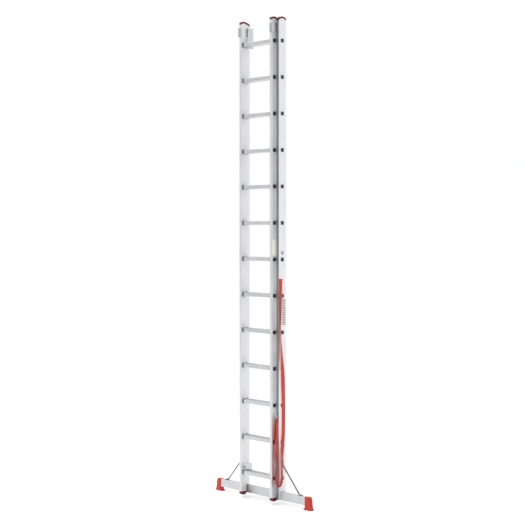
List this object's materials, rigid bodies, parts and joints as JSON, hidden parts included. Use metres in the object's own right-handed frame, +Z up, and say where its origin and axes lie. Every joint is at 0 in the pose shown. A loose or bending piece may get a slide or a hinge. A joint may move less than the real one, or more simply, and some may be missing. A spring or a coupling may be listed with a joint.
{
  "type": "extension ladder",
  "caption": "Extension ladder: sliding fly section with pivoting rung hooks, top guides, stabiliser bar with struts and end feet, and a webbing strap.",
  "frame": {"origin": "on the ground, at the middle of the ladder's width and depth, where it is stood and held", "axes": "+Z up along the stiles, +X along the rungs to the right seen from the fly side, +Y from the fly section to the base section"},
  "size_m": [1.1566, 0.122, 3.745],
  "materials": {
    "stile_aluminium": "extruded mill finish, satin",
    "rung_aluminium": "extruded, ribbed tread",
    "bar_aluminium": "extruded mill finish, satin",
    "guide_aluminium": "bent plate, satin",
    "bracket_steel": "zinc plated",
    "bolt_steel": "zinc plated",
    "cap_rubber": "moulded",
    "foot_plastic": "moulded",
    "plug_plastic": "moulded",
    "label_film": "printed film, no text",
    "strap_webbing": "woven"
  },
  "bodies": {
    "base": {"base_rung_01": "rung_aluminium", "base_rung_02": "rung_aluminium", "base_rung_03": "rung_aluminium", "base_rung_04": "rung_aluminium", "base_rung_05": "rung_aluminium", "base_rung_06": "rung_aluminium", "base_rung_07": "rung_aluminium", "base_rung_08": "rung_aluminium", "base_rung_09": "rung_aluminium", "base_rung_10": "rung_aluminium", "base_rung_11": "rung_aluminium", "base_rung_12": "rung_aluminium", "base_rung_13": "rung_aluminium", "base_stile_left": "stile_aluminium", "base_top_cap_left": "cap_rubber", "stabiliser_foot_left": "foot_plastic", "strut_left": "bracket_steel", "top_guide_left": "guide_aluminium", "strut_upper_bolt_left": "bolt_steel", "strut_lower_bolt_left": "bolt_steel", "bar_bolt_left": "bolt_steel", "base_stile_right": "stile_aluminium", "base_top_cap_right": "cap_rubber", "stabiliser_foot_right": "foot_plastic", "strut_right": "bracket_steel", "top_guide_right": "guide_aluminium", "strut_upper_bolt_right": "bolt_steel", "strut_lower_bolt_right": "bolt_steel", "bar_bolt_right": "bolt_steel", "stabiliser_bar": "bar_aluminium", "strap_anchor": "bracket_steel", "strap_hook": "bracket_steel", "safety_strap": "strap_webbing"},
    "fly": {"fly_rung_01": "rung_aluminium", "fly_rung_02": "rung_aluminium", "fly_rung_03": "rung_aluminium", "fly_rung_04": "rung_aluminium", "fly_rung_05": "rung_aluminium", "fly_rung_06": "rung_aluminium", "fly_rung_07": "rung_aluminium", "fly_rung_08": "rung_aluminium", "fly_rung_09": "rung_aluminium", "fly_rung_10": "rung_aluminium", "fly_rung_11": "rung_aluminium", "fly_rung_12": "rung_aluminium", "fly_rung_13": "rung_aluminium", "fly_stile_left": "stile_aluminium", "fly_top_cap_left": "cap_rubber", "fly_foot_left": "cap_rubber", "hook_pivot_left": "bolt_steel", "fly_stile_right": "stile_aluminium", "fly_top_cap_right": "cap_rubber", "fly_foot_right": "cap_rubber", "hook_pivot_right": "bolt_steel"},
    "left_hook": {"rung_hook_left": "guide_aluminium"},
    "right_hook": {"rung_hook_right": "guide_aluminium"}
  },
  "joints": [
    {"name": "fly_slide", "type": "slide", "parent": "base", "child": "fly", "axis": [0, 0, 1], "range_m": [0, 1.68]},
    {"name": "left_hook_pivot", "type": "hinge", "parent": "fly", "child": "left_hook", "pos_m": [-0.17, -0.03, 0.243], "axis": [1, 0, 0], "range_deg": [0, 100]},
    {"name": "right_hook_pivot", "type": "hinge", "parent": "fly", "child": "right_hook", "pos_m": [0.17, -0.03, 0.243], "axis": [1, 0, 0], "range_deg": [0, 100]}
  ]
}
